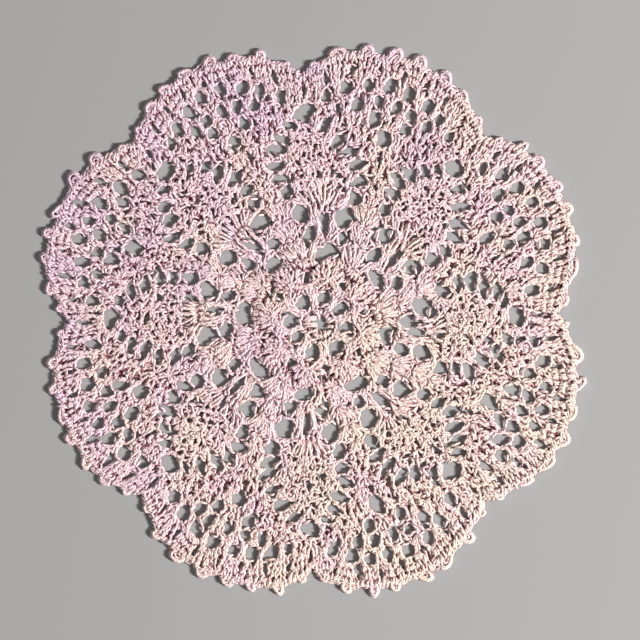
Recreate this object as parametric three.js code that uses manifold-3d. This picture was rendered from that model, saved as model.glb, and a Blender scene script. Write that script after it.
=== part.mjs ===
// Lace doily, worked in the round from one cotton thread and laid flat.
// One solid: a sheet with a scalloped picot edge, its open gaps cut through and
// its petals, fans, trebles and rims raised on top.
// Units are millimetres, +Z is up, the underside lies on z = 0.

import * as THREE from 'three';
import { mergeVertices } from 'three/addons/utils/BufferGeometryUtils.js';
import Module from 'manifold-3d';

// ---- driving sizes -------------------------------------------------------
const REPEATS = 8;             // pineapples, petals and lobes round the doily
const SHEET = 1.7;             // thickness of the plain crochet
const EDGE_THIN = 0.8;         // height at the edge against the height in the middle
const FLOWER = [3.9, -1.7];    // middle of the flower from the middle of the whole piece
const PETAL_RISE = 1.7;        // how far the centre petals stand up
const PETAL_OUT = 18.9;        // middle of a petal from the flower's middle
const PETAL_WIDE = 13.2;
const PETAL_TALL = 9.4;
const RIB_RISE = 0.6;          // how far a tall stitch stands up
const LOBE_TIP = 101.6;        // flower centre to the edge of a lobe, under the picots
const NOTCH = 92.3;            // flower centre to the edge between two lobes
const PICOTS = 8;              // picots on one lobe
const PICOT_TALL = 3.4;
const PICOT_WIDE = 5.0;
const HALF_REPEAT = 180 / REPEATS;

// How the rounds wander off true: the rounds creep to one side and turn a
// little as they grow.  Columns: radius mm, drift x mm, drift y mm, turn degrees.
const WANDER = [
  [0, 0.0, 0.0, -10.0],
  [10, -1.2, 0.0, -10.5],
  [19, -1.6, 0.0, -12.0],
  [28, -1.8, 0.0, -9.0],
  [40, -2.2, 0.7, -4.2],
  [60, -2.3, 1.1, -1.8],
  [76, -2.4, 1.5, 0.0],
  [106, -2.6, 2.0, 1.2],
];

// How each repeat was stretched by hand, one row a repeat.  Columns: lean of the
// pineapple and of the lobe in degrees, reach of the notch and of the lobe.
const STRETCH = [
  [0.8, 2.0, 0.975, 0.985],
  [2.0, 1.3, 1.005, 1.005],
  [2.6, 1.6, 1.000, 1.010],
  [-0.4, 1.0, 1.010, 1.010],
  [0.2, 0.2, 0.995, 0.985],
  [0.0, 0.0, 0.995, 1.000],
  [-1.1, -3.2, 1.020, 1.010],
  [-2.2, -1.7, 1.000, 0.990],
];

// Gaps of one repeat between the flower and the pineapple's point, measured from
// the pineapple's middle.  Columns: across degrees, out mm, wide mm, tall mm,
// tilt degrees, sides, pair (1 = also mirrored).
const GAPS = [
  [0.0, 10.2, 4.6, 4.2, 0, 6, 0],
  [0.0, 26.8, 9.0, 4.2, 0, 6, 0],
  [0.0, 37.0, 2.6, 7.6, 0, 5, 0],
  [10.8, 33.2, 4.0, 4.8, 0, 5, 1],
  [11.5, 40.8, 5.8, 6.2, 0, 6, 1],
  [15.2, 48.6, 4.6, 4.4, 0, 5, 1],
  [15.8, 54.6, 5.0, 2.6, -25, 4, 1],
  [14.6, 59.6, 5.4, 2.7, -28, 4, 1],
  [11.6, 64.2, 5.6, 2.8, -28, 4, 1],
  [8.4, 68.4, 5.6, 2.8, -28, 4, 1],
  [5.0, 71.6, 4.6, 2.4, -25, 4, 1],
  [0.0, 76.4, 7.6, 4.6, 0, 6, 0],
];

// Gaps of one lobe's mesh, measured from the lobe's middle.  Columns: across
// degrees, out mm, fall to the notch mm, wide mm, tall mm, tilt degrees, sides,
// pair.
const LOBE_GAPS = [
  [0.0, 71.2, 0.0, 4.4, 6.4, 0, 6, 0],
  [4.6, 77.6, 6.0, 3.8, 6.0, 14, 5, 1],
  [0.0, 83.2, 8.0, 3.6, 4.8, 0, 5, 0],
  [4.4, 83.2, 8.0, 3.8, 4.8, 5, 5, 1],
  [8.9, 83.2, 9.0, 3.8, 4.8, 12, 5, 1],
  [2.4, 90.0, 12.0, 3.9, 5.2, 3, 5, 1],
  [7.2, 90.0, 12.0, 4.2, 5.4, 9, 5, 1],
  [12.0, 90.0, 12.5, 4.2, 5.4, 16, 5, 1],
  [16.6, 90.0, 12.5, 3.6, 4.8, 22, 5, 1],
];

// Tall stitches that stand up as ribs, in fans and shells.  Columns: middle of
// the fan (0 = pineapple, 1 = lobe), stitches, spread degrees, foot mm, head mm,
// splay (head spread against foot spread), wide mm.
const RIBS = [
  [0, 7, 15.0, 42.6, 50.2, 1.35, 1.15],
  [1, 3, 9.0, 24.6, 31.2, 1.5, 1.6],
  [1, 3, 8.0, 33.2, 39.0, 1.4, 1.6],
  [1, 3, 8.0, 41.6, 47.6, 1.3, 1.6],
];

// Rows of small loops across a pineapple, one ridge a row.  Columns: out mm,
// half width degrees.
const ROWS = [
  [53.4, 12.0],
  [57.6, 10.8],
  [61.8, 8.6],
  [66.0, 5.8],
  [70.0, 2.6],
];

// ---- laying out ----------------------------------------------------------
const radians = (degrees) => (degrees * Math.PI) / 180;

// Value of one column of a table at a radius, straight between the rows.
function column(table, radius, index) {
  let low = table[0];
  for (const high of table) {
    if (high[0] >= radius) {
      const span = high[0] - low[0];
      const part = span > 0 ? (radius - low[0]) / span : 0;
      return low[index] + (high[index] - low[index]) * part;
    }
    low = high;
  }
  return low[index];
}

// Lean and reach round the doily: the sixteen axes (pineapple, lobe, pineapple
// ...) are joined by a smooth wave.
function stretchAt(turn, first, second) {
  const place = (((turn / HALF_REPEAT) % 16) + 16) % 16;
  const left = Math.floor(place);
  const part = place - left;
  const ease = part * part * (3 - 2 * part);
  const value = (axis) => {
    const row = STRETCH[Math.floor((axis % 16) / 2)];
    return axis % 2 === 0 ? row[first] : row[second];
  };
  return value(left) + (value((left + 1) % 16) - value(left)) * ease;
}

// Place of a charted spot on the table, in mm.
function lay(turn, out) {
  const grown = Math.min(1, Math.max(0, (out - 34) / 30));
  const lean = stretchAt(turn, 0, 1) * grown;
  const reach = 1 + (stretchAt(turn, 2, 3) - 1) * grown;
  const angle = radians(turn + lean + column(WANDER, out, 3));
  const radius = out * reach;
  return [
    radius * Math.cos(angle) + column(WANDER, out, 1),
    radius * Math.sin(angle) + column(WANDER, out, 2),
  ];
}

// A gap: a rounded polygon in chart directions, laid out and wound to the left.
function gap(turn, out, wide, tall, tilt, sides) {
  const points = [];
  const start = sides === 5 ? -90 : 0;
  const lean = radians(tilt);
  for (let i = 0; i < sides; i += 1) {
    const a = radians(start + (360 / sides) * i);
    const grow = sides === 4 ? 1.0 : 1.06;
    const u = Math.cos(a) * wide * 0.5 * grow;
    const v = Math.sin(a) * tall * 0.5 * grow;
    const across = u * Math.cos(lean) - v * Math.sin(lean);
    const along = u * Math.sin(lean) + v * Math.cos(lean);
    const degrees = (across / out) * (180 / Math.PI);
    points.push(lay(turn - degrees, out + along));
  }
  return points.reverse();
}

// Edge of the sheet under the picots: scalloped, a round-topped arc a lobe.
function edgeOut(across) {
  const part = Math.abs(across) / HALF_REPEAT;
  return NOTCH + (LOBE_TIP - NOTCH) * (1 - Math.pow(part, 2.4));
}

function outline() {
  const points = [];
  const pitch = (2 * HALF_REPEAT) / PICOTS;
  for (let k = 0; k < REPEATS; k += 1) {
    for (let p = 0; p < PICOTS; p += 1) {
      const middle = -HALF_REPEAT + pitch * (p + 0.5);
      const base = edgeOut(middle);
      const half = ((PICOT_WIDE / 2) * 180) / (Math.PI * base);
      const steps = [
        [-pitch / 2, -0.4],
        [-half * 1.15, 0.2],
        [-half * 0.95, PICOT_TALL * 0.6],
        [-half * 0.4, PICOT_TALL],
        [half * 0.4, PICOT_TALL],
        [half * 0.95, PICOT_TALL * 0.6],
        [half * 1.15, 0.2],
      ];
      for (const [step, rise] of steps) {
        const across = middle + step;
        const turn = (2 * k + 1) * HALF_REPEAT + across;
        const foot = Math.abs(across) > HALF_REPEAT ? HALF_REPEAT : across;
        points.push(lay(turn, edgeOut(foot) + rise));
      }
    }
  }
  return points;
}

function gaps() {
  const list = [];
  for (let k = 0; k < REPEATS; k += 1) {
    const pine = 2 * k * HALF_REPEAT;
    for (const [across, out, wide, tall, tilt, sides, pair] of GAPS) {
      list.push(gap(pine + across, out, wide, tall, tilt, sides));
      if (pair) {
        list.push(gap(pine - across, out, wide, tall, -tilt, sides));
      }
    }
    const lobe = pine + HALF_REPEAT;
    for (const [across, out, fall, wide, tall, tilt, sides, pair] of LOBE_GAPS) {
      const part = across / HALF_REPEAT;
      const height = out - fall * part * part;
      list.push(gap(lobe + across, height, wide, tall, tilt, sides));
      if (pair) {
        list.push(gap(lobe - across, height, wide, tall, -tilt, sides));
      }
    }
  }
  return list;
}

// ---- solid ---------------------------------------------------------------
const wasm = await Module();
wasm.setup();
const { CrossSection, Manifold } = wasm;

const eye = [];
for (let i = 0; i < 8; i += 1) {
  const a = radians(45 * i);
  eye.push([Math.cos(a) * 1.6, Math.sin(a) * 3.0]);
}
const holes = gaps();
holes.push(eye);
const sheet = CrossSection.ofPolygons([outline()], 'NonZero');
const cut = CrossSection.ofPolygons(holes, 'NonZero');
const flat = sheet.subtract(cut);
const plain = flat.extrude(SHEET);

// A rib: a small hipped roof from a foot to a head, set into the sheet.
function rib(from, to, wide, rise) {
  const dx = to[0] - from[0];
  const dy = to[1] - from[1];
  const length = Math.hypot(dx, dy);
  const u = [dx / length, dy / length];
  const n = [(-u[1] * wide) / 2, (u[0] * wide) / 2];
  const sink = SHEET - 0.25;
  const top = SHEET + rise;
  const inset = wide * 0.45;
  return Manifold.hull([
    [from[0] + n[0], from[1] + n[1], sink],
    [from[0] - n[0], from[1] - n[1], sink],
    [to[0] + n[0], to[1] + n[1], sink],
    [to[0] - n[0], to[1] - n[1], sink],
    [from[0] + u[0] * inset, from[1] + u[1] * inset, top],
    [to[0] - u[0] * inset, to[1] - u[1] * inset, top],
  ]);
}

// A petal: a low dome, wider than tall, rounded at its outer edge.
function petal(turn) {
  const points = [];
  const levels = [
    [1.0, SHEET - 0.25],
    [0.78, SHEET + PETAL_RISE * 0.62],
    [0.36, SHEET + PETAL_RISE],
  ];
  for (const [grow, z] of levels) {
    for (let i = 0; i < 10; i += 1) {
      const a = radians(36 * i);
      const across = Math.cos(a) * (PETAL_WIDE / 2) * grow;
      const along = Math.sin(a) * (PETAL_TALL / 2) * grow;
      const out = PETAL_OUT + along;
      const [x, y] = lay(turn + (across / out) * (180 / Math.PI), out);
      points.push([x, y, z]);
    }
  }
  return Manifold.hull(points);
}

const raised = [];
for (let k = 0; k < REPEATS; k += 1) {
  const pine = 2 * k * HALF_REPEAT;
  raised.push(petal(pine));
  for (const [axis, count, spread, foot, head, splay, wide] of RIBS) {
    for (let i = 0; i < count; i += 1) {
      const part = (2 * i) / (count - 1) - 1;
      const across = (part * spread) / 2;
      const middle = pine + axis * HALF_REPEAT;
      const from = lay(middle + across, foot);
      const to = lay(middle + across * splay, head);
      raised.push(rib(from, to, wide, RIB_RISE));
    }
  }
  for (const [out, half] of ROWS) {
    raised.push(rib(lay(pine - half, out), lay(pine + half, out), 1.5, RIB_RISE));
  }
}
const worked = plain.add(Manifold.union(raised));

// The open lobes and the edge lie flatter than the middle.
const solid = worked.warp((vertex) => {
  const out = Math.hypot(vertex[0], vertex[1]);
  const part = Math.min(1, Math.max(0, (out - 55) / 45));
  vertex[2] *= 1 - (1 - EDGE_THIN) * part;
  vertex[0] += FLOWER[0];
  vertex[1] += FLOWER[1];
});

function toGeometry(manifold) {
  const mesh = manifold.getMesh();
  const geometry = new THREE.BufferGeometry();
  const count = mesh.vertProperties.length / mesh.numProp;
  const position = new Float32Array(count * 3);
  for (let i = 0; i < count; i += 1) {
    for (let j = 0; j < 3; j += 1) {
      position[i * 3 + j] = mesh.vertProperties[i * mesh.numProp + j];
    }
  }
  geometry.setAttribute('position', new THREE.BufferAttribute(position, 3));
  geometry.setIndex(new THREE.BufferAttribute(new Uint32Array(mesh.triVerts), 1));
  return mergeVertices(geometry, 1e-5);
}

const cotton = new THREE.MeshStandardMaterial({ color: 0xe9dcd3, roughness: 0.95, metalness: 0 });
const doily = new THREE.Mesh(toGeometry(solid), cotton);
doily.name = 'doily';

const group = new THREE.Group();
group.add(doily);

export default group;
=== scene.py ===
"""Lace doily, crocheted in the round from one cotton thread and laid flat.

The chart and the stitches are in millimetres until a mesh is made; the camera and
the lamps are in metres.  Every strand of thread is a thin tube carried along its
own centre line.
"""

import math

import bpy
import numpy as np
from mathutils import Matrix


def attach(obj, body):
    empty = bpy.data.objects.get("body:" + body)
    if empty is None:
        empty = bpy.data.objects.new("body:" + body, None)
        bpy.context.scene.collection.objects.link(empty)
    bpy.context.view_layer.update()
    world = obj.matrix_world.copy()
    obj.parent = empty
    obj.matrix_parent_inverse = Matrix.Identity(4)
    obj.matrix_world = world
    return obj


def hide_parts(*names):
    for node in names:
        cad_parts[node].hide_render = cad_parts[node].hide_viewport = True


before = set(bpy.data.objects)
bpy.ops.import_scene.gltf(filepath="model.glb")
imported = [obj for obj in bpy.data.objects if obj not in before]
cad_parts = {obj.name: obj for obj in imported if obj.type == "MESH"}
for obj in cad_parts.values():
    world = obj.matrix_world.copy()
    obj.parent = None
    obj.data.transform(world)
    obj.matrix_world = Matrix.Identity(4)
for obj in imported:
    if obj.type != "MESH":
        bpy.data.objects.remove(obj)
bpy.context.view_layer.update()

MM = 0.001
REPEATS = 8
HALF = 180.0 / REPEATS          # degrees from a pineapple's middle to a lobe's
THREAD = 0.49                   # radius of the thread
CHAIN_PITCH = 1.75              # length of one chain
FLOWER = (3.9, -1.7)            # middle of the flower from the middle of the doily
LOBE_TIP = 101.6                # edge of a lobe under the picots
NOTCH = 91.5                    # edge between two lobes
EDGE_POWER = 2.4                # how late a lobe's edge bends in to the notch
PULL_FROM, PULL_FULL = 34, 64   # radius where the hand's pull starts, and is whole
PICOTS = 8                      # on one lobe
EYE_WIDE, EYE_TALL = 2.1, 3.3   # half sizes of the ring in the flower's middle
PETAL_OUT = 16.8                # from the flower's middle to the middle of a petal
PETAL_HALF = 6.4                # half the width and the height of a petal's half oval
PINE_FALL = 3.2                 # fall of a pineapple's rows at a lobe's middle
RIM_FROM = 1.05                 # half size of the narrowest opening with a rim
SLACK = 0.09                    # how far a point of a strand strays, standard deviation
LOWEST = 1.12 * THREAD          # a centre line's least height over the table
END_THICK = 0.72                # of the radius, at both ends of a strand
SHADE_DEPTH = 1.35              # under the top of the lace, where a strand's painted shade is darkest
GROUND_STRANDS = 13500
GROUND_FROM, GROUND_TO = 2.8, 101.0     # radius from the flower's middle
FRAME_WIDE = 0.2368             # metres across the view at the table
CAMERA = (0.0035, -0.0002, 1.1)     # metres, straight above and looking down

# Linear colours: the thread from its cool side to its warm side, the painted shade
# on the thread low between the strands, in dark red, and the floor.
MAUVE = (0.92, 0.67, 0.78, 1)
PINK = (0.99, 0.735, 0.72, 1)
CREAM = (1.0, 0.785, 0.675, 1)
PAINTED_SHADE_RED = (0.26, 0.045, 0.08, 1)
PALE_GREY = (0.345, 0.338, 0.334, 1)

rng = np.random.default_rng(20)

# ---------------------------------------------------------------- the chart
# Rounds creep to one side and turn a little as they grow.
# Columns: radius, drift x, drift y, turn in degrees.
WANDER = np.array([
    [0, 0.0, 0.0, -10.0],
    [10, -1.2, 0.0, -10.5],
    [19, -1.6, 0.0, -12.0],
    [28, -1.8, 0.0, -9.0],
    [40, -2.2, 0.7, -4.2],
    [60, -2.3, 1.1, -1.8],
    [76, -2.4, 1.5, 0.0],
    [106, -2.6, 2.0, 1.2],
])

# How each repeat was pulled by hand, one row a repeat.
# Columns: lean of the pineapple, lean of the lobe, reach of the notch, of the lobe.
STRETCH = np.array([
    [0.8, 2.8, 0.980, 1.007],
    [2.0, 1.3, 1.005, 1.005],
    [2.6, 1.6, 1.000, 1.010],
    [-0.4, 1.0, 1.010, 1.015],
    [0.2, 0.2, 0.995, 0.985],
    [0.0, 0.0, 0.995, 1.006],
    [-1.1, -3.2, 1.020, 1.018],
    [-2.2, -1.7, 1.000, 1.004],
])

# Tops of the outer rounds.  Columns: at a pineapple's middle, at a lobe's middle.
ROUNDS = np.array([
    [47.8, 46.4],
    [52.9, 52.6],
    [57.4, 57.6],
    [61.8, 62.6],
    [66.4, 67.8],
    [70.5, 74.3],
    [73.9, 80.6],
    [79.0, 86.8],
    [85.3, 93.2],
])

# Gaps of one repeat up to the one over the pineapple's point, measured from the
# pineapple's middle.  Columns: across degrees, out mm, wide mm, tall mm, tilt
# degrees, sides, pair (1 = also mirrored).
GAPS = np.array([
    [0.0, 10.2, 4.6, 4.2, 0, 6, 0],
    [22.5, 17.4, 2.4, 3.0, 0, 4, 0],
    [0.0, 26.8, 7.8, 3.4, 0, 6, 0],
    [0.0, 37.0, 2.6, 7.6, 0, 5, 0],
    [10.8, 33.2, 4.0, 4.8, 0, 5, 1],
    [11.5, 40.8, 5.8, 6.2, 0, 6, 1],
    [15.2, 48.6, 4.6, 4.4, 0, 5, 1],
    [15.8, 54.6, 7.6, 3.1, -25, 4, 1],
    [14.6, 59.6, 8.4, 3.1, -28, 4, 1],
    [11.6, 64.1, 8.3, 3.0, -28, 4, 1],
    [8.4, 68.2, 7.6, 2.7, -28, 4, 1],
    [5.0, 72.0, 5.8, 2.4, -25, 4, 1],
    [0.0, 76.4, 7.6, 4.6, 0, 6, 0],
])

# Gaps of one lobe's mesh, from the lobe's middle.  Columns: across degrees, out
# mm, fall to the notch mm, wide mm, tall mm, tilt degrees, sides, pair.
LOBE_GAPS = np.array([
    [0.0, 71.2, 0.0, 4.2, 6.2, 0, 6, 0],
    [4.6, 77.6, 6.0, 3.6, 5.4, 14, 5, 1],
    [0.0, 83.2, 8.0, 3.3, 4.3, 0, 5, 0],
    [4.4, 83.2, 8.0, 3.5, 4.3, 5, 5, 1],
    [8.9, 83.2, 9.0, 3.5, 4.3, 12, 5, 1],
    [2.4, 90.0, 12.0, 3.6, 4.6, 3, 5, 1],
    [7.2, 90.0, 12.0, 3.9, 4.8, 9, 5, 1],
    [12.0, 90.0, 12.5, 3.9, 4.8, 16, 5, 1],
    [16.6, 90.0, 12.5, 3.3, 4.3, 22, 5, 1],
])

# Where the fans of each outer round stand, in degrees from the lobe's middle
# (also mirrored), one line a round from the inmost.
STARS = [
    [0.0, 6.5],
    [3.2, 9.6],
    [0.0, 6.2, 11.5],
    [3.2, 9.2, 14.2],
    [2.6, 7.6, 12.6, 17.2],
    [0.0, 5.0, 9.8, 14.6, 19.2],
    [2.2, 6.7, 11.3, 15.6, 19.8],
    [0.0, 4.8, 9.6, 14.3, 18.8, 22.0],
    [2.8, 8.4, 14.1, 19.7],
]

# Rows of small loops in a pineapple.  Columns: out mm at the middle, loops,
# half width degrees.
PINE_ROWS = np.array([
    [50.6, 8, 12.4],
    [54.6, 8, 11.8],
    [58.6, 7, 10.4],
    [62.6, 6, 8.4],
    [66.4, 4, 5.8],
    [70.2, 3, 3.6],
])

# Stitches down both sides of a pineapple: out mm, degrees from its middle.
PINE_SIDES = [(49.0, 13.4), (52.6, 13.2), (56.8, 12.2), (61.0, 10.6), (65.0, 8.2),
              (69.2, 5.4), (73.0, 2.6)]

# Rows of short pairs on a petal: size of the half oval, pairs.
PETAL_ROWS = [(1.03, 15), (0.84, 13), (0.64, 10), (0.44, 7), (0.24, 4)]

# Knots in a column of shells, where one grows out of the next: out mm, stitches.
KNOTS = [(23.8, 8), (31.6, 10), (39.4, 10), (46.4, 11), (51.4, 9)]

# Where each outer round of a lobe stops, in degrees short of a pineapple's middle.
LOBE_STOPS = [10.2, 10.6, 9.4, 6.6, 4.0, 1.4, 0.0, 0.0]


def stretch_at(turn, first, second):
    """Smooth wave through two columns of STRETCH, the first at the pineapples'
    axes and the second at the lobes': each pair of neighbours is joined by the
    curve 3 t^2 - 2 t^3 of the way t between them."""
    axes = 2 * REPEATS
    place = np.mod(np.asarray(turn, float) / HALF, axes)
    left = np.floor(place).astype(int) % axes
    t = place - np.floor(place)
    wave = np.empty(axes)
    wave[0::2] = STRETCH[:, first]
    wave[1::2] = STRETCH[:, second]
    return wave[left] + (wave[(left + 1) % axes] - wave[left]) * t * t * (3 - 2 * t)


# Uneven tension of the hand: a few slow waves over the table.
# Columns: wave x per mm, wave y per mm, start, push x mm, push y mm.
WAVES = np.array([
    [0.21, 0.09, 0.4, 0.30, -0.22],
    [-0.12, 0.24, 1.9, -0.25, 0.30],
    [0.33, -0.19, 3.1, 0.18, 0.20],
    [0.08, 0.41, 5.2, 0.20, -0.14],
    [0.72, 0.31, 1.1, 0.16, 0.20],
    [-0.37, 0.78, 2.7, 0.22, 0.14],
    [0.55, -0.66, 4.4, 0.15, -0.20],
])


def lay(turn, out):
    """Place on the table of a spot in the chart: radius times cosine and sine of
    the leaned and turned angle, plus the round's drift and the slow waves.  Lean
    and reach grow evenly from PULL_FROM to PULL_FULL."""
    turn, out = np.broadcast_arrays(np.asarray(turn, float), np.asarray(out, float))
    grown = np.clip((out - PULL_FROM) / (PULL_FULL - PULL_FROM), 0, 1)
    lean = stretch_at(turn, 0, 1) * grown
    reach = 1 + (stretch_at(turn, 2, 3) - 1) * grown
    angle = np.radians(turn + lean + np.interp(out, WANDER[:, 0], WANDER[:, 3]))
    x = out * reach * np.cos(angle) + np.interp(out, WANDER[:, 0], WANDER[:, 1])
    y = out * reach * np.sin(angle) + np.interp(out, WANDER[:, 0], WANDER[:, 2])
    for wave_x, wave_y, start, push_x, push_y in WAVES:
        wave = np.sin(wave_x * x + wave_y * y + start)
        x, y = x + push_x * wave, y + push_y * wave
    return np.stack([x + FLOWER[0], y + FLOWER[1]], -1)


def round_top(index, delta):
    """Radius of a round at an angle from the lobe's middle: a raised cosine from
    the lobe's value down to the pineapple's."""
    pine, lobe = ROUNDS[index]
    share = 0.5 + 0.5 * np.cos(np.radians(np.asarray(delta, float)) * REPEATS)
    return pine + (lobe - pine) * share


def edge_out(delta):
    """Radius of the edge under the picots: from the lobe's tip down to the notch
    by the power EDGE_POWER of the angle from the lobe's middle over HALF."""
    part = np.clip(np.abs(np.asarray(delta, float)) / HALF, 0, 1)
    return NOTCH + (LOBE_TIP - NOTCH) * (1 - part ** EDGE_POWER)


def hole_table():
    """Every opening: centre, direction across, direction out, the two half sizes
    and the number of sides, each a little off its charted place.  A row of spots
    is turn, out, wide, tall, tilt, how much the size varies, sides.  The
    directions are those between spots a degree and a millimetre to either side,
    turned by the tilt."""
    spots = []
    for k in range(REPEATS):
        pine = 2 * k * HALF
        for across, out, wide, tall, tilt, sides, pair in GAPS:
            for side in (1, -1) if pair else (1,):
                spots.append([pine + side * across, out, wide, tall, side * tilt,
                              0.12, sides])
        for across, out, fall, wide, tall, tilt, sides, pair in LOBE_GAPS:
            high = out - fall * (across / HALF) ** 2
            for side in (1, -1) if pair else (1,):
                spots.append([pine + HALF + side * across, high, wide, tall,
                              side * tilt, 0.16, sides])
        # small holes in three of four of a pineapple's loops
        for out, count, half in PINE_ROWS:
            pitch = 2 * half / count
            for i in range(int(count)):
                if rng.uniform() < 0.25:
                    continue
                across = -half + pitch * (i + 0.5)
                spots.append([pine + across + rng.normal(0, 0.25 * pitch),
                              out - PINE_FALL * (across / HALF) ** 2
                              + rng.normal(0, 0.8),
                              rng.uniform(0.4, 1.7), rng.uniform(0.4, 1.7),
                              rng.uniform(-60, 60), 0.1, 4])
        # slits between the tall stitches of the fan that starts a pineapple
        for i in range(11):
            across = -8.0 + 1.6 * i
            spots.append([pine + across, 47.4 - 0.02 * across ** 2, 0.35, 2.6, 0,
                          0.15, 4])
        # slits between the fans of the edging
        for i in range(PICOTS):
            across = -HALF + 2 * HALF / PICOTS * (i + 1)
            spots.append([pine + HALF + across, edge_out(across) - 6.2, 1.0, 4.2, 0,
                          0.3, 4])
        # pinholes at the feet of half the fans of a lobe
        for below, row in enumerate(STARS[:8]):
            for across in row:
                for side in (1, -1) if across else (1,):
                    if rng.uniform() < 0.5:
                        spots.append([pine + HALF + side * across,
                                      float(round_top(below, across)),
                                      0.6, 0.8, 0, 0.5, 4])
    spots = np.array(spots)
    turn, out, wide, tall, tilt, vary, sides = spots.T
    n = len(spots)
    turn = turn + np.degrees(rng.normal(0, 0.25, n) / out)
    out = out + rng.normal(0, 0.25, n)
    centre = lay(turn, out)
    aside = lay(turn - 1, out) - lay(turn + 1, out)
    outward = lay(turn, out + 1) - lay(turn, out - 1)
    aside /= np.linalg.norm(aside, axis=1, keepdims=True)
    outward /= np.linalg.norm(outward, axis=1, keepdims=True)
    lean = np.radians(tilt + rng.normal(0, 8, n))[:, None]
    u = aside * np.cos(lean) + outward * np.sin(lean)
    v = outward * np.cos(lean) - aside * np.sin(lean)
    half = np.stack([wide, tall], -1) / 2 * (1 + vary[:, None] * rng.uniform(-1, 1, (n, 2)))
    return centre, u, v, half, sides


def corner(angle, sides):
    """Edge of an opening against its oval: 0.08 + 1.02 x the radius of a polygon
    with that many sides and a corner at angle 0 (five sides: pointing in), which
    is the cosine of half a step over the cosine of the angle from the middle of
    the nearest side."""
    angle = angle + (math.pi / 2 if sides == 5 else 0)
    step = 2 * math.pi / sides
    return 0.08 + 1.02 * math.cos(step / 2) / np.cos(np.mod(angle, step) - step / 2)


# ------------------------------------------------------------ strands of thread
class Skein:
    """The strands of one piece, kept by their number of points."""

    def __init__(self, sides=5):
        self.lines = {}
        self.sides = sides

    def add(self, lines, radius):
        """lines is strands x points x 3, in mm."""
        radius = np.broadcast_to(np.asarray(radius, float), lines.shape[:1])
        self.lines.setdefault(lines.shape[1], []).append((lines, radius))

    def part(self, holes, keep=0.7, reach=1.25):
        """Parts the strands round every opening.  way is a point's distance from
        the opening's centre over that of the opening's edge in the same direction,
        with each half size of its oval made larger by 0.3 + 0.3 x itself, or by
        0.62 at most.  A strand that comes nearer than keep is left out, and what
        lies between keep and reach is squeezed between 1 and reach, times a random
        0.9 to 1.1 for each strand."""
        for count, parts in self.lines.items():
            lines = np.concatenate([line for line, _ in parts])
            radius = np.concatenate([r for _, r in parts])
            middle = lines[:, :, :2].mean(axis=1)
            size = np.linalg.norm(lines[:, -1, :2] - lines[:, 0, :2], axis=1)
            stays = np.ones(len(lines), bool)
            for centre, u, v, half, sides in zip(*holes):
                near = np.flatnonzero(np.hypot(*(middle - centre).T)
                                      < reach * half.max() + size * 0.6 + 1)
                if not len(near):
                    continue
                away = lines[near, :, :2] - centre
                size_u, size_v = half + np.minimum(0.3 + 0.3 * half, 0.62)
                aside, outward = away @ u / size_u, away @ v / size_v
                way = (np.hypot(aside, outward)
                       / corner(np.arctan2(outward, aside), sides))
                stays[near[(way < keep).any(axis=1)]] = False
                new = 1 + (np.clip(way, keep, reach) - keep) * (reach - 1) / (reach - keep)
                new *= rng.uniform(0.90, 1.10, (len(near), 1))
                grow = np.where(way < reach, new / np.maximum(way, 0.05), 1.0)
                lines[near, :, :2] = centre + away * grow[..., None]
            self.lines[count] = [(lines[stays], radius[stays])]


def tubes(lines, radius, sides):
    """Rings of points round each centre line.  The first ring's normal is carried
    along the line by taking off its part along the new direction each time; a
    ring is centre + radius x (cosine x normal + sine x binormal), and the first
    and last are END_THICK as thick."""
    step = np.gradient(lines, axis=1)
    step /= np.linalg.norm(step, axis=2, keepdims=True) + 1e-9
    normal = np.empty_like(lines)
    start = np.cross(step[:, 0], [0.31, 0.17, 0.93])
    normal[:, 0] = start / (np.linalg.norm(start, axis=1, keepdims=True) + 1e-9)
    for i in range(1, lines.shape[1]):
        last = normal[:, i - 1]
        flat = last - (last * step[:, i]).sum(1, keepdims=True) * step[:, i]
        normal[:, i] = flat / (np.linalg.norm(flat, axis=1, keepdims=True) + 1e-9)
    side = np.cross(step, normal)
    angle = np.arange(sides) * 2 * math.pi / sides
    swell = np.ones(lines.shape[1])
    swell[0] = swell[-1] = END_THICK
    thick = radius[:, None, None, None] * swell[None, :, None, None]
    ring = (np.cos(angle)[None, None, :, None] * normal[:, :, None]
            + np.sin(angle)[None, None, :, None] * side[:, :, None])
    return lines[:, :, None] + thick * ring


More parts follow.
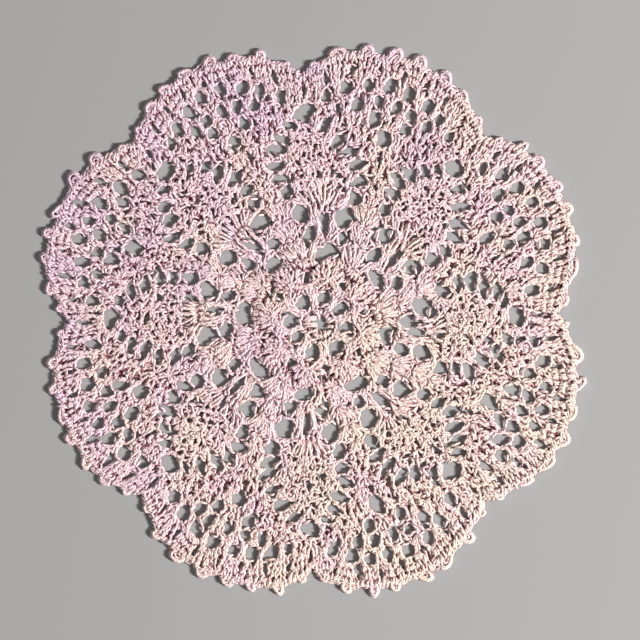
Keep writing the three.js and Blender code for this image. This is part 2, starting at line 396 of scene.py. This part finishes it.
def strand_mesh(name, skein):
    """One mesh of all the strands: quads between neighbouring rings, a flat cap at
    each end, and a UV of turn round the thread and length along it in mm.  A
    point's depth, which sets its painted shade, is 1 less its drop under the top of
    the lace over SHADE_DEPTH, and its tint is one random number for each strand."""
    points, corners, starts, sizes, uvs, tints = [], [], [], [], [], []
    sides = skein.sides
    base = 0
    at = 0
    for count in sorted(skein.lines):
        lines = np.concatenate([part for part, _ in skein.lines[count]])
        radius = np.concatenate([part for _, part in skein.lines[count]])
        rings = tubes(lines, radius, sides)
        n = len(lines)
        points.append(rings.reshape(-1, 3))
        index = base + np.arange(n * count * sides).reshape(n, count, sides)
        nxt = np.roll(index, -1, axis=2)
        quads = np.stack([index[:, :-1], nxt[:, :-1], nxt[:, 1:], index[:, 1:]], -1)
        length = np.zeros((n, count))
        length[:, 1:] = np.cumsum(np.linalg.norm(np.diff(lines, axis=1), axis=2), 1)
        length += rng.uniform(0, 40, (n, 1))
        u0 = np.arange(sides) / sides
        u = np.broadcast_to(u0, (n, count - 1, sides))
        low = np.broadcast_to(length[:, :-1, None], u.shape)
        high = np.broadcast_to(length[:, 1:, None], u.shape)
        du = 1.0 / sides
        quv = np.stack([np.stack([u, low], -1), np.stack([u + du, low], -1),
                        np.stack([u + du, high], -1), np.stack([u, high], -1)], -2)
        first = index[:, 0, ::-1]
        last = index[:, -1]
        faces = quads.reshape(-1, 4)
        corners += [faces.ravel(), first.ravel(), last.ravel()]
        uvs += [quv.reshape(-1, 2),
                np.stack([np.tile(u0[::-1], n), np.repeat(length[:, 0], sides)], -1),
                np.stack([np.tile(u0, n), np.repeat(length[:, -1], sides)], -1)]
        sizes += [np.full(len(faces), 4), np.full(2 * n, sides)]
        starts += [at + 4 * np.arange(len(faces)),
                   at + 4 * len(faces) + sides * np.arange(2 * n)]
        at += 4 * len(faces) + 2 * n * sides
        tints.append(np.repeat(rng.uniform(0, 1, n), count * sides))
        base += n * count * sides
    points = np.concatenate(points)
    # painted shade: 1 at the top of the lace, down to 0 at SHADE_DEPTH under it
    depth = 1 + (points[:, 2] - height_at(points)) / SHADE_DEPTH
    points = points * MM
    corners = np.concatenate(corners).astype(np.int32)
    mesh = bpy.data.meshes.new(name)
    mesh.vertices.add(len(points))
    mesh.vertices.foreach_set("co", points.astype(np.float32).ravel())
    mesh.loops.add(len(corners))
    mesh.loops.foreach_set("vertex_index", corners)
    begin = np.concatenate(starts).astype(np.int32)
    mesh.polygons.add(len(begin))
    mesh.polygons.foreach_set("loop_start", begin)
    mesh.polygons.foreach_set("loop_total", np.concatenate(sizes).astype(np.int32))
    layer = mesh.uv_layers.new(name="Thread")
    layer.data.foreach_set("uv", np.concatenate(uvs).astype(np.float32).ravel())
    tint = mesh.attributes.new("tint", "FLOAT", "POINT")
    tint.data.foreach_set("value", np.concatenate(tints).astype(np.float32))
    # the depth attribute, which the material turns into painted shade
    painted_shade = mesh.attributes.new("depth", "FLOAT", "POINT")
    painted_shade.data.foreach_set("value", np.clip(depth, 0, 1).astype(np.float32))
    mesh.update(calc_edges=True)
    mesh.validate()
    mesh.shade_smooth()
    piece = bpy.data.objects.new(name, mesh)
    bpy.context.scene.collection.objects.link(piece)
    return piece


# ------------------------------------------------------------------ stitches
# One strand of a stitch a table.  Columns: way from foot to head, across mm, up mm.
LEG_OVER = np.array([[-0.06, -0.40, 0.55], [0.25, -0.36, 1.20], [0.55, 0.18, 1.58],
                     [0.85, 0.42, 1.50], [1.08, 0.0, 0.85]])
LEG_UNDER = np.array([[-0.04, 0.38, 0.50], [0.30, 0.36, 0.95], [0.62, -0.34, 1.20],
                      [1.05, -0.32, 0.75]])
TURN = np.array([[0.0, -0.48, 0.60], [0.30, -0.36, 1.55], [0.70, 0.20, 1.75],
                 [1.02, 0.52, 0.90]])
LINK = np.array([[-0.12, 0.02, 0.70], [0.24, 0.44, 1.10], [0.66, 0.50, 1.25],
                 [1.20, 0.10, 0.85]])
UNDER = np.array([[0.0, -0.35, 0.62], [0.5, 0.35, 0.80], [1.0, -0.30, 0.62]])
SPOKE = np.array([[0.0, 0.0, 0.75], [0.33, 0.28, 1.40], [0.70, 0.22, 1.60],
                  [1.05, -0.15, 0.95]])
HOOK = np.array([[-0.22, -0.60, 0.60], [0.20, -0.40, 1.35], [0.68, 0.22, 1.55],
                 [1.20, 0.55, 0.75]])


def stitch(skein, foot, head, table, flip=None, lift=0.0, swing=0.10):
    """Strands from a table: foot + way x (head - foot) + across x the sideways
    direction, at the given height, each turned a little about its middle and
    with a little slack in every point.  None goes lower than LOWEST."""
    foot = np.asarray(foot, float).reshape(-1, 2)
    head = np.asarray(head, float).reshape(-1, 2)
    n = len(foot)
    if not n:
        return
    run = head - foot
    long = np.linalg.norm(run, axis=1, keepdims=True) + 1e-9
    side = np.stack([-run[:, 1], run[:, 0]], -1) / long
    flip = np.ones(n) if flip is None else flip
    across = table[None, :, 1] * np.reshape(flip, (n, 1))
    across = across + rng.normal(0, SLACK, across.shape)
    line = np.empty((n, len(table), 3))
    line[..., :2] = (foot[:, None] + table[None, :, 0, None] * run[:, None]
                     + across[..., None] * side[:, None])
    middle = line[:, :, :2].mean(axis=1, keepdims=True)
    lean = rng.normal(0, swing, (n, 1)) * np.minimum(1, 3.5 / long)
    x, y = (line[:, :, :2] - middle)[..., 0], (line[:, :, :2] - middle)[..., 1]
    line[..., 0] = middle[..., 0] + x * np.cos(lean) - y * np.sin(lean)
    line[..., 1] = middle[..., 1] + x * np.sin(lean) + y * np.cos(lean)
    up = table[None, :, 2] + rng.normal(0, SLACK * 0.7, (n, len(table)))
    line[..., 2] = np.maximum(up + np.reshape(np.broadcast_to(lift, n), (n, 1)), LOWEST)
    skein.add(line, THREAD * rng.uniform(0.88, 1.10, n))


def posts(skein, foot, head, turns=0, lift=0.0, loose=0.22, narrow=1.0, parts=1,
          swing=0.10):
    """Tall stitches from foot to head: two legs that cross, once to each part, and
    over them the short turns of thread that slant round the stitch, evenly along
    it and each a little higher than the last, one to each 2.8 mm or as many as
    turns says."""
    slim = np.array([1, narrow, 1])
    foot = np.asarray(foot, float).reshape(-1, 2)
    head = np.asarray(head, float).reshape(-1, 2)
    n = len(foot)
    foot = foot + rng.normal(0, loose, foot.shape)
    head = head + rng.normal(0, loose, head.shape)
    flip = rng.choice([-1.0, 1.0], n, p=[0.25, 0.75])
    lift = lift + rng.uniform(-0.12, 0.2, n)
    run = head - foot
    for k in range(parts):
        low, high = foot + run * k / parts, foot + run * (k + 1) / parts
        stitch(skein, low, high, LEG_OVER * slim, flip, lift, swing=swing)
        stitch(skein, low, high, LEG_UNDER * slim, flip, lift, swing=swing)
    long = np.linalg.norm(run, axis=1, keepdims=True) + 1e-9
    if not turns:
        turns = max(1, int(round(float(np.median(long)) / 2.8)))
    for k in range(turns):
        at = foot + run * (k + 0.5 + rng.normal(0, 0.12, (n, 1))) / turns
        reach = run / long * np.minimum(1.75, 0.45 * long) * rng.uniform(0.8, 1.15, (n, 1))
        stitch(skein, at - reach, at + reach, TURN * slim, -flip,
               lift - 0.35 + 0.55 * (k + 0.5) / turns, swing=0.13)


def along(path, pitch):
    """Evenly spaced spots on a path, by length along it."""
    path = np.asarray(path, float)
    gone = np.concatenate([[0], np.cumsum(np.linalg.norm(np.diff(path, axis=0), axis=1))])
    count = max(1, int(round(gone[-1] / pitch)))
    at = np.linspace(0, gone[-1], count + 1)
    return np.stack([np.interp(at, gone, path[:, 0]), np.interp(at, gone, path[:, 1])], -1)


def chain(skein, path):
    """A chain: a pair of curved strands to each link, one the mirror image of the
    other across the path."""
    spots = along(path, CHAIN_PITCH)
    spots = spots + rng.normal(0, 0.16, spots.shape)
    stitch(skein, spots[:-1], spots[1:], LINK)
    stitch(skein, spots[:-1], spots[1:], LINK * [1, -1, 1])


def rope(skein, path, pitch=1.9, lift=0.0, loose=0.14, skip=0.0, side=1.0,
         narrow=1.0):
    """A row of slanting hooks along a path, each over the end of the one before,
    with the share of them that skip says left out."""
    spots = along(path, pitch)
    spots = spots + rng.normal(0, loose, spots.shape)
    stays = rng.uniform(0, 1, len(spots) - 1) >= skip
    stitch(skein, spots[:-1][stays], spots[1:][stays], HOOK,
           flip=np.full(int(stays.sum()), side * narrow), lift=lift)


def band(skein, path, up, loose=0.08, radius=THREAD):
    """One smooth strand along a path, of eight steps."""
    path = np.asarray(path, float)
    gone = np.linalg.norm(np.diff(path, axis=0), axis=1).sum()
    spots = along(path, gone / 8)
    line = np.empty((1, len(spots), 3))
    line[0, :, :2] = spots + rng.normal(0, loose, spots.shape)
    line[0, :, 2] = up + rng.normal(0, 0.08, len(spots))
    skein.add(line, np.array([radius]) * rng.uniform(0.95, 1.12))


def star(skein, turn, out, count, reach):
    """Stitches that spread from one spot in all directions, each from 0.4 mm to
    about reach from it."""
    turns = np.arange(count) * 2 * math.pi / count + rng.uniform(0, 6)
    turns = turns + rng.normal(0, 0.15, count)
    spread = np.stack([np.cos(turns), np.sin(turns)], -1)
    centre = lay(turn, out)
    reach = reach * rng.uniform(0.8, 1.2, (count, 1))
    stitch(skein, centre + spread * 0.4, centre + spread * reach, SPOKE, lift=0.25,
           flip=rng.choice([-1.0, 1.0], count))


def shell(skein, middle, low, high, foot_wide, head_wide, count, bow=1.0, narrow=1.0):
    """A fan of tall stitches out of one space: feet close together, heads spread on
    an arc, high - bow x the square of the way to its ends, and a curved row of
    stitch heads just over them."""
    part = np.linspace(-1, 1, count)
    foot = lay(middle + np.degrees(foot_wide / 2 * part / low), low - 0.3 * part ** 2)
    head = lay(middle + np.degrees(head_wide / 2 * part / high), high - bow * part ** 2)
    posts(skein, foot, head, turns=1, loose=0.18, narrow=narrow, swing=0.05)
    fine = np.linspace(-1.05, 1.05, 14)
    rope(skein, lay(middle + np.degrees(head_wide / 2 * fine / high),
                    high + 0.2 - bow * fine ** 2), lift=-0.1)


round_chains = Skein()
flower = Skein()
shells = Skein()
pineapples = Skein()
lobe_feet = Skein()
lobe_mesh = Skein()
edging = Skein()
openings = hole_table()
repeat_turns = np.arange(REPEATS) * 2 * HALF

# The ring, and eight spokes of four tall stitches each.
around = np.arange(0, 360, 360 / 19.0)
eye = np.stack([EYE_WIDE * np.cos(np.radians(around)),
                EYE_TALL * np.sin(np.radians(around))], -1)
posts(flower, eye + FLOWER, lay(around + 25, 5.6), turns=1, lift=-0.3, loose=0.4, swing=0.5)
rope(flower, lay(np.linspace(0, 360, 60), 6.6))
for turn in repeat_turns + HALF:
    posts(flower, lay(turn + np.array([-9.5, -3, 3, 9.5]), 6.2),
          lay(turn + np.array([-8, -2.5, 2.5, 8]), 13.8))
rope(flower, lay(np.linspace(0, 360, 120), 13.6))


def petal(turn):
    """A puffed petal: tall stitches from a short foot to a half oval, whose points
    are PETAL_HALF x the cosine to the side and PETAL_OUT + PETAL_HALF x the sine
    out.  Over them lie five rows of short pairs of strands like feathers.  A row's
    pairs run out to its size from 0.34 less, as shares of a half oval a little
    larger, and the inner rows stand higher."""
    sweep = np.radians(np.linspace(-28, 208, 11))
    out = PETAL_OUT + PETAL_HALF * np.sin(sweep)
    posts(flower, lay(turn - np.degrees(np.linspace(3.6, -3.6, 11) / 16.0), 14.6),
          lay(turn - np.degrees(PETAL_HALF * np.cos(sweep) / out), out),
          lift=0.1 + 0.3 * np.sin(sweep).clip(0), narrow=0.85)
    for size, count in PETAL_ROWS:
        sweep = np.radians(np.linspace(-34, 214, count)) + rng.normal(0, 0.06, count)
        ends = []
        for far in (size - 0.34, size):
            out = PETAL_OUT + far * 6.7 * np.sin(sweep) + rng.normal(0, 0.2, count)
            ends.append(lay(turn - np.degrees(far * 6.6 * np.cos(sweep) / out), out))
        for side in (-1.0, 1.0):
            stitch(flower, ends[0], ends[1], SPOKE, flip=np.full(count, side),
                   lift=0.15 + 0.55 * (1 - size) + 0.25 * (side > 0), swing=0.22)


for turn in repeat_turns:
    petal(turn)

for turn in repeat_turns:
    column = turn + HALF
    # stitches behind the petals
    base = np.linspace(-HALF, HALF, 14)
    posts(shells, lay(turn + base, 21.6), lay(turn + base * 1.02, 24.6), lift=-0.1)
    # first shells, and the arches between them
    shell(shells, column, 23.6, 31.4, 4.0, 15.4, 12, 1.2, 0.85)
    arch = lay(turn + np.linspace(-11, 11, 12), 30.4 - 0.5 * np.linspace(-1, 1, 12) ** 2)
    for lift in (0, 0.2):
        rope(round_chains, arch, lift=lift)
    # second shells, and the V over each arch
    shell(shells, column, 31.7, 39.2, 2.6, 12.8, 10, 1.0, 0.85)
    for hand in (-1, 1):
        posts(shells, lay(turn + hand * np.array([1.6, 2.9, 4.2]), 30.8),
              lay(turn + hand * np.array([3.4, 5.4, 7.4]), [41.9, 41.2, 40.4]))
        posts(shells, lay(turn + hand * np.array([5.6, 7.4, 9.4]), 30.6),
              lay(turn + hand * np.array([9.0, 11.4, 13.6]), [38.4, 37.6, 37.6]))
        reach = turn + hand * np.array([7.2, 9.5, 12, 15.3])
        chain(round_chains, lay(reach, [38.6, 37.2, 37.0, 38.2]))
        rope(round_chains, lay(reach, [38.2, 36.8, 36.6, 37.8]))
    posts(shells, lay(turn + np.linspace(-5, 5, 5), 40.2),
          lay(turn + np.linspace(-6, 6, 5), 43.4))
    # third shells, and the fan that starts a pineapple
    shell(shells, column, 39.6, 46.2, 2.4, 12.4, 10, 1.0, 0.85)
    shell(shells, turn, 42.6, 50.4, 7.4, 18.0, 13, 1.6, 0.65)
    for hand in (-1, 1):
        posts(shells, lay(turn + hand * np.array([6.0, 7.2, 8.4]), 42.6),
              lay(turn + hand * np.array([11.6, 13.4, 15.2]), [47.6, 46.6, 46.0]))
        rope(round_chains, lay(turn + hand * np.array([8.0, 11.2, 13.6, 16.6]),
                               [44.0, 45.4, 45.0, 45.0]))
    for out, count in KNOTS:
        star(shells, column + rng.normal(0, 0.4), out, count, 3.0)

# A pineapple: loose rings of hooks round its small holes, and short strands that
# lie every way between them.
for turn in repeat_turns:
    for out, count, half in PINE_ROWS:
        pitch = 2 * half / count
        for i in range(int(count)):
            across = -half + pitch * (i + 0.5) + rng.normal(0, 0.18 * pitch)
            high = out - PINE_FALL * (across / HALF) ** 2 + rng.normal(0, 0.4)
            turned = np.linspace(0, 2 * math.pi, 12) + rng.uniform(0, 6)
            wide, tall = rng.uniform(1.2, 1.9), rng.uniform(1.6, 2.3)
            ring = lay(turn + across + np.degrees(wide * np.cos(turned) / high),
                       high + tall * np.sin(turned))
            rope(pineapples, ring, 2.0, lift=rng.uniform(-0.1, 0.4), loose=0.3,
                 side=rng.choice([-1, 1]))
        many = int(count) * 7
        spots = lay(turn + rng.uniform(-half, half, many), out + rng.uniform(-2.2, 2.2, many))
        facing = rng.uniform(0, 2 * math.pi, many)
        step = np.stack([np.cos(facing), np.sin(facing)], -1)
        step *= rng.uniform(1.0, 1.8, (many, 1))
        stitch(pineapples, spots - step, spots + step, SPOKE,
               lift=rng.uniform(-0.2, 0.4, many), flip=rng.choice([-1.0, 1.0], many))
    # the frame of stitches on both sides of a pineapple
    for hand in (-1, 1):
        for out, half in PINE_SIDES:
            posts(pineapples, lay(turn + hand * (half + np.array([-0.7, 0.7])), out - 2.2),
                  lay(turn + hand * (half + np.array([-1.1, 0.5])), out + 2.0))


def both_sides(row):
    """The angles of a row with their mirror images, in order."""
    row = np.array(row, float)
    return np.unique(np.concatenate([-row, row]))


def lobe_row(skein, lobe, below):
    """A round of a lobe: fans of tall stitches spread from their feet and draw
    together again where the next round's fans stand.  A stitch has an even place
    in the row.  Its foot is 0.15 to 0.5 of the way there from the nearest fan's
    foot, and its head a tenth of the way on to the nearest fan of the next round."""
    span = HALF - LOBE_STOPS[below]
    middle_out = round_top(below, 0) * 0.5 + round_top(below + 1, 0) * 0.5
    wide = np.radians(2 * span) * middle_out
    feet = both_sides(STARS[below])
    feet = feet + rng.normal(0, 0.35, len(feet))
    tops = both_sides(STARS[below + 1])
    count = int(round(wide / 1.36))
    spots = np.linspace(-span, span, count) + rng.normal(0, 0.15, count)
    base = feet[np.abs(spots[:, None] - feet).argmin(1)]
    top = tops[np.abs(spots[:, None] - tops).argmin(1)]
    foot_at = base + (spots - base) * rng.uniform(0.15, 0.5, count)
    head_at = spots + (top - spots) * 0.1
    fall = 1.5 * np.clip(np.abs(spots - base) / 3.0, 0, 1) ** 2
    foot = lay(lobe + foot_at, round_top(below, foot_at) - 0.4 + rng.normal(0, 0.35, count))
    head = lay(lobe + head_at, round_top(below + 1, head_at) + 0.4 - fall
               + rng.normal(0, 0.3, count))
    posts(skein, foot, head, turns=1, parts=2, swing=0.2)
    for spot in feet:
        if rng.uniform() < 0.7:
            star(skein, lobe + spot, float(round_top(below, spot)), 7, 2.6)
    for left, right in zip(tops[:-1], tops[1:]):
        if max(abs(left), abs(right)) > span or rng.uniform() < 0.3:
            continue
        reach = np.linspace(left, right, 7)
        bulge = rng.uniform(0.0, 1.0) * np.sin(np.linspace(0, math.pi, 7))
        rope(skein, lay(lobe + reach, round_top(below + 1, reach) - 0.3 + bulge),
             lift=-0.1, loose=0.3, side=rng.choice([-1, 1]))


for turn in repeat_turns + HALF:
    for below in range(8):
        lobe_row(lobe_feet if below < 5 else lobe_mesh, turn, below)

# The edging: a fan and a picot to each step, and the last row's rim.
step = 2 * HALF / PICOTS
for turn in repeat_turns + HALF:
    for k in range(PICOTS):
        middle = -HALF + step * (k + 0.5) + rng.normal(0, 0.2)
        part = np.linspace(-1, 1, 7)
        foot_at = middle + part * step * 0.26
        head_at = np.clip(middle + part * step * 0.48, -HALF, HALF)
        posts(edging, lay(turn + foot_at, round_top(8, foot_at) - 0.3),
              lay(turn + head_at, edge_out(head_at) - 0.7 - 0.7 * part ** 2),
              narrow=1.1, parts=3, loose=0.4, swing=0.24)
        fine = np.linspace(-1, 1, 12)
        rim = np.clip(middle + fine * step * 0.56, -HALF, HALF)
        band(edging, lay(turn + rim, edge_out(rim) + 0.1 - 0.8 * fine ** 2), up=0.75,
             loose=0.2)
        for inset, lift in ((0.5, 0.0), (1.4, 0.3)):
            rope(round_chains, lay(turn + rim, edge_out(rim) - inset - 0.8 * fine ** 2), 1.7,
                 lift=lift, loose=0.2, narrow=0.9)
        # the picot, smaller beside a notch: three loops of thread, one in another,
        # on an oval of half sizes wide and tall that leans more as it rises
        size = 0.55 if k in (0, PICOTS - 1) else 1.0
        base = edge_out(middle) - 0.3
        turned = np.radians(np.linspace(-35, 215, 16))
        wide = size * rng.uniform(2.0, 2.9)
        tall = size * rng.uniform(2.0, 3.1)
        lean = rng.normal(0, 0.35)
        for grow, up in ((1.0, 0.75), (0.80, 1.5), (0.42, 1.1)):
            rise = grow * tall * np.sin(turned)
            aside = grow * wide * np.cos(turned) + lean * rise
            band(edging, lay(turn + middle + np.degrees(aside / base), base + rise),
                 up=up, radius=1.15 * THREAD)

# What lies under the stitches in sight: short strands that mostly point away
# from the middle, all over the lace from the flower's eye to the edging.  Out is
# the square root of an even spread, which puts as many strands on each patch.
# Lying low in the lace, these strands mostly take the painted shade and look dark between the
# stitches.
ground = Skein(4)
turn = rng.uniform(0, 360, GROUND_STRANDS)
out = np.sqrt(rng.uniform(GROUND_FROM ** 2, GROUND_TO ** 2, GROUND_STRANDS))
delta = np.mod(turn, 2 * HALF) - HALF
inside = out < edge_out(delta) - 1.2
spots = lay(turn[inside], out[inside])
away = lay(turn[inside], out[inside] + 1) - spots
facing = np.arctan2(away[:, 1], away[:, 0]) + rng.normal(0, 0.6, len(spots))
half_run = np.stack([np.cos(facing), np.sin(facing)], -1)
half_run *= rng.uniform(1.2, 1.9, (len(spots), 1))
stitch(ground, spots - half_run, spots + half_run, UNDER,
       lift=rng.uniform(-0.1, 0.35, len(spots)))

skeins = {"lobe_mesh": lobe_mesh, "lobe_feet": lobe_feet, "pineapples": pineapples,
          "shells": shells, "flower": flower, "round_chains": round_chains,
          "edging": edging, "ground": ground}
# Parted twice, the second time more lightly, because one opening can push a strand
# into the next.
for skein in skeins.values():
    skein.part(openings)
    skein.part(openings, 0.6, 1.1)

# Rims: some hooks round each of the wider openings.
for centre, u, v, half, sides in zip(*openings):
    if half.min() < RIM_FROM:
        continue
    angle = np.linspace(0, 2 * math.pi, 24) + rng.uniform(0, 6)
    edge = corner(angle, sides)[:, None]
    rim = (centre + np.cos(angle)[:, None] * u * (half[0] + 0.8) * edge
           + np.sin(angle)[:, None] * v * (half[1] + 0.8) * edge)
    rope(round_chains, rim, 2.4, lift=rng.uniform(-0.3, 0.1), skip=0.55, loose=0.3,
         side=rng.choice([-1, 1]), narrow=0.6)

# ------------------------------------------------------------------- pieces
# Height of the lace over the table, a cell for each millimetre, from which the
# painted shade is set: the highest strand in a cell, then the mean with the eight
# cells round it.
CELLS = 230
heights = np.zeros((CELLS, CELLS))
for skein in skeins.values():
    for parts in skein.lines.values():
        for line, _ in parts:
            cell = np.clip((line[..., :2] + CELLS / 2).astype(int), 1, CELLS - 2)
            np.maximum.at(heights, (cell[..., 0], cell[..., 1]), line[..., 2] + THREAD)
heights = sum(np.roll(heights, (i, j), (0, 1)) for i in (-1, 0, 1) for j in (-1, 0, 1)) / 9


def height_at(points):
    """Height of the lace round each point: that of the cell it lies in."""
    cell = np.clip((points[:, :2] + CELLS / 2).astype(int), 0, CELLS - 1)
    return heights[cell[:, 0], cell[:, 1]]


pieces = {name: strand_mesh(name, skein) for name, skein in skeins.items()}


def cotton():
    """Matte cotton.  Its colour runs from MAUVE through PINK to CREAM with
    patch + 1.4 x - 1.4 y, in metres, where patch is a broad noise.  It goes to
    PAINTED_SHADE_RED, a painted shade, where depth is low, deep among the strands, and takes
    a tint for each strand and the painted shade of the slanting grooves between the
    plies, which are also its bump.  A groove lies where
    2 x turn + 0.62 x length comes within 0.22 of a whole number."""
    material = bpy.data.materials.new("cotton_thread")
    material.use_nodes = True
    tree = material.node_tree

    def node(kind, sources, **settings):
        """A new node with its settings, and for each input of that name or number
        an output to link to it or a plain value."""
        new = tree.nodes.new(kind)
        for name, value in settings.items():
            setattr(new, name, value)
        for name, source in sources.items():
            if isinstance(source, bpy.types.NodeSocket):
                tree.links.new(source, new.inputs[name])
            else:
                new.inputs[name].default_value = source
        return new.outputs

    place = node("ShaderNodeTexCoord", {})["Object"]
    patch = node("ShaderNodeTexNoise", {"Vector": place, "Scale": 60.0, "Detail": 2.0})
    across = node("ShaderNodeVectorMath", {0: place, 1: (1.4, -1.4, 0)},
                  operation="DOT_PRODUCT")
    warm = node("ShaderNodeMath", {0: patch["Fac"], 1: across["Value"]})
    colour = node("ShaderNodeValToRGB", {"Fac": warm[0]})
    ramp = colour[0].node.color_ramp.elements
    ramp[0].position = 0.24
    ramp[0].color = MAUVE
    ramp[1].position = 0.76
    ramp[1].color = CREAM
    ramp.new(0.5).color = PINK

    tint = node("ShaderNodeAttribute", {}, attribute_name="tint")
    shade = node("ShaderNodeMapRange", {"Value": tint["Fac"], "To Min": 0.84, "To Max": 1.06})
    uv = node("ShaderNodeUVMap", {}, uv_map="Thread")
    split = node("ShaderNodeSeparateXYZ", {"Vector": uv["UV"]})
    turns = node("ShaderNodeMath", {0: split["X"], 1: 2.0}, operation="MULTIPLY")
    slant = node("ShaderNodeMath", {0: split["Y"], 1: 0.62, 2: turns[0]},
                 operation="MULTIPLY_ADD")
    wave = node("ShaderNodeMath", {0: slant[0], 1: 0.5}, operation="PINGPONG")
    groove = node("ShaderNodeMapRange", {"Value": wave[0], "From Max": 0.22},
                  interpolation_type="SMOOTHSTEP")
    # painted shade in the grooves between the plies
    dark = node("ShaderNodeMapRange", {"Value": groove[0], "To Min": 0.62})
    both = node("ShaderNodeMath", {0: shade[0], 1: dark[0]}, operation="MULTIPLY")

    # painted shade: the colour goes towards PAINTED_SHADE_RED where depth is low among the
    # strands
    depth = node("ShaderNodeAttribute", {}, attribute_name="depth")
    rise = node("ShaderNodeMapRange", {"Value": depth["Fac"], "From Min": 0.35,
                                       "From Max": 1.0}, interpolation_type="SMOOTHSTEP")
    painted_shade = node("ShaderNodeMixRGB", {"Fac": rise[0], "Color1": PAINTED_SHADE_RED,
                                     "Color2": colour["Color"]})
    mix = node("ShaderNodeVectorMath", {0: painted_shade["Color"], "Scale": both[0]},
               operation="SCALE")
    bump = node("ShaderNodeBump", {"Strength": 0.8, "Distance": 0.00018,
                                   "Height": groove[0]})
    shader = tree.nodes["Principled BSDF"].inputs
    shader["Roughness"].default_value = 0.92
    shader["Sheen Weight"].default_value = 0.12
    shader["Sheen Roughness"].default_value = 0.6
    tree.links.new(mix[0], shader["Base Color"])
    tree.links.new(bump[0], shader["Normal"])
    return material


thread = cotton()
for name, piece in pieces.items():
    piece.data.materials.append(thread)
    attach(piece, "root")
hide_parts("doily")

# -------------------------------------------------------- table, light, camera
floor_mesh = bpy.data.meshes.new("table_top")
floor_mesh.from_pydata([(-3, -3, 0), (3, -3, 0), (3, 3, 0), (-3, 3, 0)], [], [(0, 1, 2, 3)])
floor = bpy.data.objects.new("table_top", floor_mesh)
bpy.context.scene.collection.objects.link(floor)
pale = bpy.data.materials.new("pale_table")
pale.use_nodes = True
pale_shader = pale.node_tree.nodes["Principled BSDF"].inputs
pale_shader["Base Color"].default_value = PALE_GREY
pale_shader["Roughness"].default_value = 0.9
floor_mesh.materials.append(pale)


def lamp(name, place, size, power):
    """A square lamp that faces the doily's middle: tipped from straight down by
    the angle whose cosine is its height over its distance, then turned to it."""
    data = bpy.data.lights.new(name, "AREA")
    data.size = size
    data.energy = power
    thing = bpy.data.objects.new(name, data)
    thing.location = place
    bpy.context.scene.collection.objects.link(thing)
    aim = -np.array(place, float)
    aim /= np.linalg.norm(aim)
    thing.rotation_euler = (math.acos(-aim[2]), 0, math.atan2(aim[1], aim[0]) - math.pi / 2)


lamp("key", (1.58, -0.47, 1.19), 0.36, 70)
lamp("fill", (-0.9, 0.7, 1.8), 1.6, 5)
bpy.context.scene.view_settings.view_transform = "Standard"
world = bpy.context.scene.world or bpy.data.worlds.new("room")
bpy.context.scene.world = world
world.use_nodes = True
world.node_tree.nodes["Background"].inputs["Color"].default_value = (1, 1, 1, 1)
world.node_tree.nodes["Background"].inputs["Strength"].default_value = 0.15

camera_data = bpy.data.cameras.new("camera")
camera = bpy.data.objects.new("camera", camera_data)
bpy.context.scene.collection.objects.link(camera)
camera_data.lens_unit = "FOV"
camera_data.angle = 2 * math.atan(FRAME_WIDE / 2 / CAMERA[2])
camera_data.clip_start = 0.01
camera.location = CAMERA
bpy.context.scene.camera = camera
